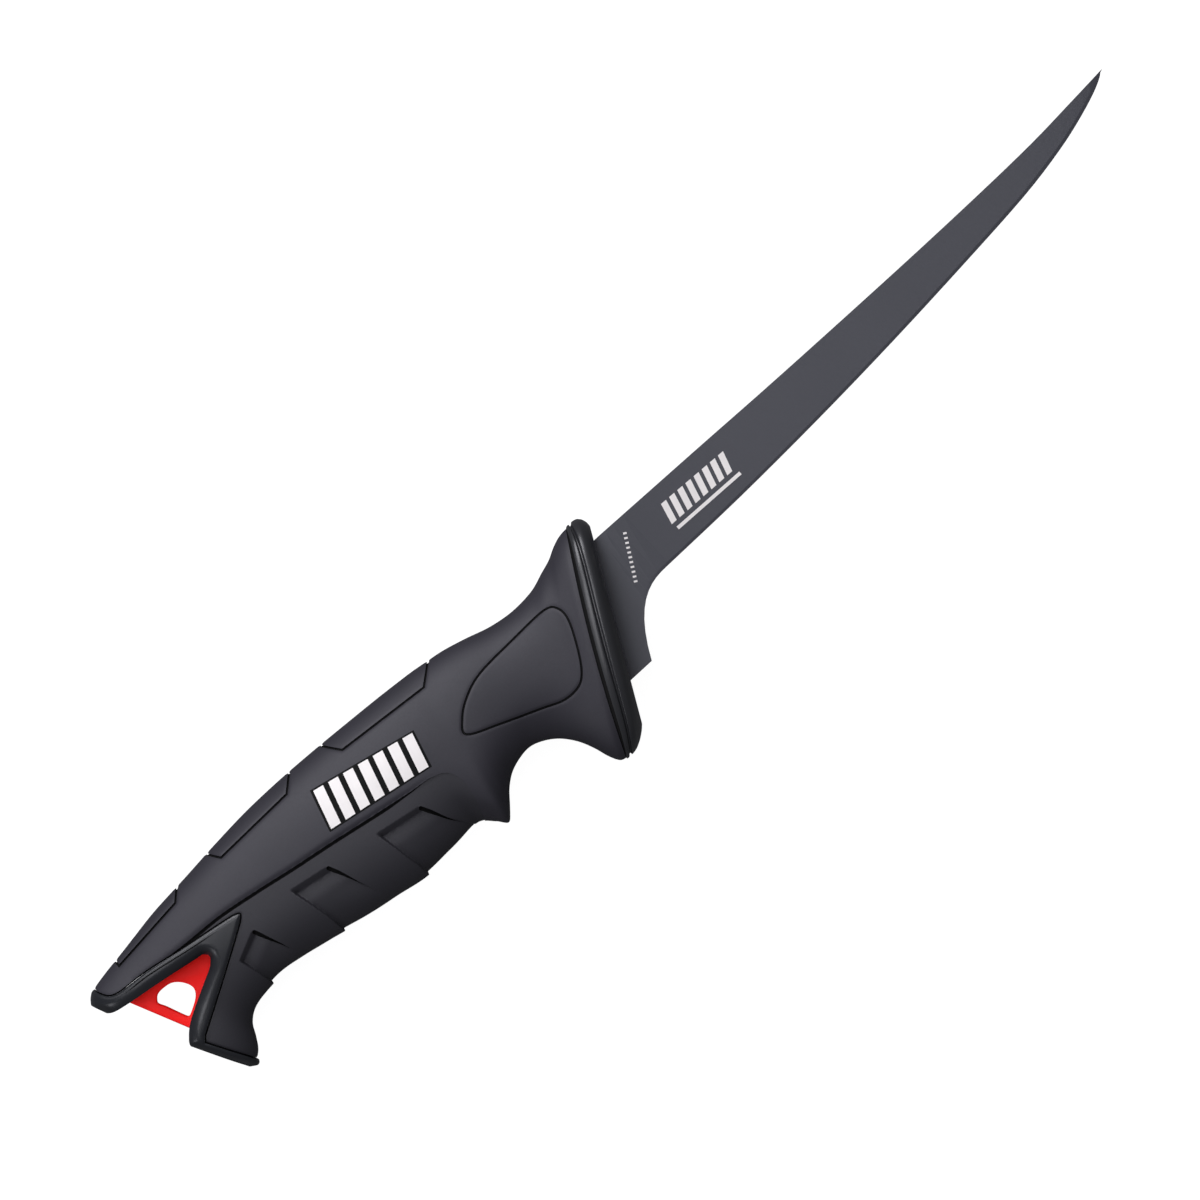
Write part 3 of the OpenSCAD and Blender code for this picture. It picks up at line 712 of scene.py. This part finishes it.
def makeFingerGrip():
    tops = [[panel["rear"][0], panel["front"][0]] for panel in panels]
    lines = [forkLine, *tops, *(panel["rear"] for panel in panels), *(panel["front"] for panel in panels)]
    ends = (grips["fingerFrom"] - grips["fingerLead"], lastRib)
    grip = rollForm("fingerGrip", ends=ends, sink=panelSink, lines=lines, **fineGrid)
    cut(grip, prism("fingerKeep", fingerZone), "INTERSECT")
    cut(grip, rollForm("inner", -grips["wall"], lead=overrun, **toolGrid))
    cut(grip, prism("forkCut", widen(forkZone, grips["forkGap"])))
    cut(grip, shadeCutTool(widen(forkZone, grips["forkSlit"]), grips["forkUnder"] + grips["creaseDrop"]))
    left, low = grips["creaseFrom"]
    run = [p for p in creaseLine if p[0] < left and p[1] > low]
    slit = ribbon(run, grips["creaseSlit"], (grips["topLead"], grips["creaseLead"]))
    cut(grip, shadeCutTool(slit, grips["creaseUnder"]))
    for panel in panels:
        front = curve(panel["front"])
        run = [p for p in front if p[1] > front[0][1] - grips["frontRun"]]
        slit = ribbon(run, grips["frontSlit"], (grips["topLead"], grips["frontLead"]))
        cut(grip, shadeCutTool(slit, grips["frontUnder"]))
    return grip


dress(makeFingerGrip(), "shadedFingerRubber", "finger_rubber", "finger_grip", sharp=30)
print("finger grip ready")

# Fork frame and lanyard insert
fork = {
    "stand": 0.3, "ribs": (17.0, lastRib),
    "lipWidth": 0.9, "lipDeep": 0.35,         # round the grips' side
    "mouthWidth": 2.3, "mouthDeep": 1.9,      # rolled far over into the V
    # second thin line beside the first, its walls painted shade in the core's black: how far in, half
    # width, depth, from and to, above, tapers
    "lineIn": 0.9, "lineHalf": 0.14, "lineDeep": 0.35,
    "lineRun": (-147.0, -121.0), "lineAbove": -8.5, "lineLeads": (3.0, 4.0),
}
insert = {
    "thick": 4.0, "grip": 1.5, "slotGap": 0.1,
    "edge": 0.35, "edgeSteps": 3, "edgeTurn": 60.0,   # rounding, for edges that turn more than this
    "merge": 0.02, "level": 0.01,                     # points and heights nearer than this are the same
    # shares of the handle, with the hole's straight side first
    "hole": [
        [0.929, -0.280], [0.930, -0.300], [0.925, -0.340], [0.918, -0.410], [0.913, -0.458],
        [0.910, -0.474], [0.904, -0.468], [0.886, -0.425], [0.878, -0.385], [0.878, -0.345],
        [0.885, -0.295], [0.896, -0.260], [0.910, -0.250], [0.922, -0.254],
    ],
    "bounds": [[0.965, -0.130], [0.913, -0.600], [0.800, -0.600], [0.800, -0.130]],
}


def insertBlank(name, thick, grow=0.0):
    # The plate, or with a little added, the slot it sits in
    outline = widen(innerLine + onHandle(insertBack), insert["grip"] + grow)
    blank = prism(name, outline, -thick / 2, thick / 2)
    return cut(blank, prism("bounds", widen(onHandle(insert["bounds"]), grow)), "INTERSECT")


def makeForkFrame():
    mouth = onHandle(forkHeel) + innerLine

    def sink(flat, u):
        return (lipSink(flat, [forkLine], fork["lipWidth"], fork["lipDeep"])
                + lipSink(flat, [mouth], fork["mouthWidth"], fork["mouthDeep"]))

    body = rollForm("forkFrame", fork["stand"], ends=fork["ribs"], sink=sink, lines=[forkLine, mouth],
                    **fineGrid)
    body.data.materials.append(finishes["trimBlack"])
    cut(body, prism("forkKeep", forkOutline), "INTERSECT")
    rear, front = fork["lineRun"]
    run = [[x, y - fork["lineIn"]] for x, y in forkLine if rear < x < front and y > fork["lineAbove"]]
    cut(body, shadeCutTool(ribbon(run, fork["lineHalf"], fork["lineLeads"]), fork["lineDeep"]))
    gap = insert["slotGap"]
    return cut(body, insertBlank("slot", insert["thick"] + 2 * gap, gap))


def makeInsert():
    plate = insertBlank("lanyardInsert", insert["thick"])
    cut(plate, prism("hole", loop(onHandle(insert["hole"]))))
    bm = bmesh.new()
    bm.from_mesh(plate.data)
    bmesh.ops.remove_doubles(bm, verts=bm.verts, dist=insert["merge"] * mm)
    steep = math.radians(insert["edgeTurn"])
    rims = [e for e in bm.edges if len(e.link_faces) == 2 and e.calc_face_angle(0) > steep
            and abs(e.verts[0].co.z - e.verts[1].co.z) < insert["level"] * mm]
    bmesh.ops.bevel(bm, geom=rims, offset=insert["edge"] * mm, offset_type="OFFSET",
                    segments=insert["edgeSteps"], profile=0.5, affect="EDGES", clamp_overlap=False,
                    material=-1)
    bm.to_mesh(plate.data)
    bm.free()
    return plate


dress(makeForkFrame(), "trimBlack", "trim_plastic", "fork_frame")
dress(makeInsert(), "insertRed", "insert_plastic", "lanyard_insert")
print("fork frame and lanyard insert ready")

# Guard collar
collar = {
    "corners": 160, "perRow": 5,
    "groove": 0.8, "run": 0.24, "turn": 6,    # the groove runs back at both ends
    "shadow": 0.83,                           # behind this share of the thickness the seam is painted shade, in the core's black
    # share of the thickness from the front, how far the rim is drawn in, and the share of the bow
    "rim": [
        [0, 5.0, 0], [0.05, 3.4, 0], [0.13, 1.9, 0.1], [0.21, 1.0, 0.2], [0.29, 0.4, 0.3],
        [0.40, 0.1, 0.4], [0.48, 0.1, 0.5], [0.52, 0.7, 0.5], [0.58, 0.7, 0.6], [0.62, 0.1, 0.6],
        [0.74, 0.02, 0.7], [0.86, 0.3, 0.9], [0.94, 0.7, 1], [1, 1.1, 1], [1, 3.2, 0],
    ],
}


def makeCollar():
    profile = np.array(curve(collar["rim"], collar["perRow"]))
    bm = bmesh.new()
    bmesh.ops.create_grid(bm, x_segments=len(profile) - 1, y_segments=collar["corners"], size=0.5)
    bm.verts.index_update()
    flat = np.array([(v.co.x + 0.5, v.co.y + 0.5) for v in bm.verts])
    share, draw, bow = profile[np.round(flat[:, 0] * (len(profile) - 1)).astype(int)].T
    turn, bulge = turned(flat[:, 1])
    run = 4 * share * (1 - share) * collar["run"]
    back = share + bow * handle["bow"] * (1 - turn ** 2) + run * np.abs(turn) ** collar["turn"]
    inset = draw * collar["groove"] + handle["shrink"]
    for vert, t, b, w, d in zip(bm.verts, turn, bulge, back, inset):
        x, y = onGuard((handle["guardLength"] / 2 - d) * t, -w * handle["guardThick"])
        vert.co = onKnife(x, y, (handle["guardWidth"] / 2 - d) * b)
    for face in bm.faces:
        # Faces behind that share take the core's black: painted shade for the groove between the collar
        # and the flange
        face.material_index = int(min(share[v.index] for v in face.verts) > collar["shadow"])
    ring = rolled(bm, "guardCollar")
    for finish in ("litCollarBlack", "coreBlack"):
        ring.data.materials.append(finishes[finish])
    return ring


dress(makeCollar(), "litCollarBlack", "trim_plastic", "guard_collar", sharp=50)
print("guard collar ready")

# Plain marks on the photographed side
marks = {
    "lift": 0.05, "thick": 0.2,
    "rim": 0.045,   # how far the plate shows round the bars, a share of its size
    # four corners of each area, rear top, front top, front bottom, rear bottom, and what share is bar
    "bars": {
        "area": [(-86.6, 0.6), (-60.6, -5.0), (-61.8, -13.2), (-88.2, -8.6)],
        "count": 7, "fill": 0.66, "slant": 0.3,
    },
    "print": {
        "area": [(13.4, -4.9), (32.6, -5.6), (32.2, -10.3), (13.2, -9.9)],
        "count": 8, "fill": 0.62, "slant": 0.45,
    },
    "scale": {
        "area": [(4.6, -4.3), (-1.1, -14.2), (-1.8, -13.8), (3.9, -3.9)],
        "count": 11, "fill": 0.4, "slant": 0.0,
    },
    "underline": [(13.6, -11.0), (32.2, -11.4), (32.2, -12.2), (13.6, -11.8)],
    # cells across and down each plate, so that it follows the surface under it
    "plateCells": (20, 10), "barCells": (4, 10), "printCells": (1, 1),
}


def blend(corners, across, down):
    a, b, c, d = (np.array(corner) for corner in corners)
    top, bottom = a + (b - a) * across, d + (c - d) * across
    return top + (bottom - top) * down


def barsIn(plan):
    # Plain slanted bars side by side in the area
    step = 1 / (plan["count"] - 1 + plan["fill"] + plan["slant"])
    for k in range(plan["count"]):
        low, high = k * step, (k + plan["fill"]) * step
        lean = plan["slant"] * step
        yield [blend(plan["area"], x, y) for x, y in
               ((low + lean, 0), (high + lean, 0), (high, 1), (low, 1))]


def layOn(name, under, areas, finish, slot, lift, cells):
    # Thin plates that follow the surface under them
    under = nodes[under] if under in nodes else under
    surface = BVHTree.FromObject(under, bpy.context.evaluated_depsgraph_get())
    whole = bmesh.new()
    for corners in areas:
        bm = bmesh.new()
        bmesh.ops.create_grid(bm, x_segments=cells[0], y_segments=cells[1], size=0.5)
        for vert in bm.verts:
            x, y = blend(corners, vert.co.x + 0.5, 0.5 - vert.co.y)
            hit = surface.ray_cast(onKnife(x, y, through), Vector((0, 0, -1)))[0]
            vert.co = hit + Vector((0, 0, lift * mm))
        grown = bmesh.ops.extrude_face_region(bm, geom=bm.faces[:])["geom"]
        lower = [g for g in grown if isinstance(g, bmesh.types.BMVert)]
        bmesh.ops.translate(bm, verts=lower, vec=(0, 0, -marks["thick"] * mm))
        bmesh.ops.recalc_face_normals(bm, faces=bm.faces)
        part = bpy.data.meshes.new(name)
        bm.to_mesh(part)
        bm.free()
        whole.from_mesh(part)
        bpy.data.meshes.remove(part)
    dress(keep(name, whole), finish, slot)


def plateUnder(plan):
    # The bars' area with a narrow rim, slanted as they are
    lean = plan["slant"] / (plan["count"] - 1 + plan["fill"] + plan["slant"])
    side, end = marks["rim"] / 2, marks["rim"]
    return [blend(plan["area"], x, y) for x, y in
            ((lean - side, -end), (1 + side, -end), (1 - lean + side, 1 + end), (-side, 1 + end))]


layOn("badgePlate", mainGrip, [plateUnder(marks["bars"])], "coreBlack", "core_plastic",
      marks["lift"], marks["plateCells"])
layOn("badgeBars", mainGrip, barsIn(marks["bars"]), "paleMark", "trim_plastic",
      2 * marks["lift"], marks["barCells"])
layOn("bladePrint", "blade", [*barsIn(marks["print"]), marks["underline"], *barsIn(marks["scale"])],
      "paleMark", "blade_coating", marks["lift"], marks["printCells"])
print("marks ready")

# Steel and core
for node, finish in (("blade", "bladeCoating"), ("core", "coreBlack")):
    mesh = nodes[node].data
    mesh.materials.clear()
    mesh.materials.append(finishes[finish])

makeCamera()
makeStudio()
print("camera and studio ready")
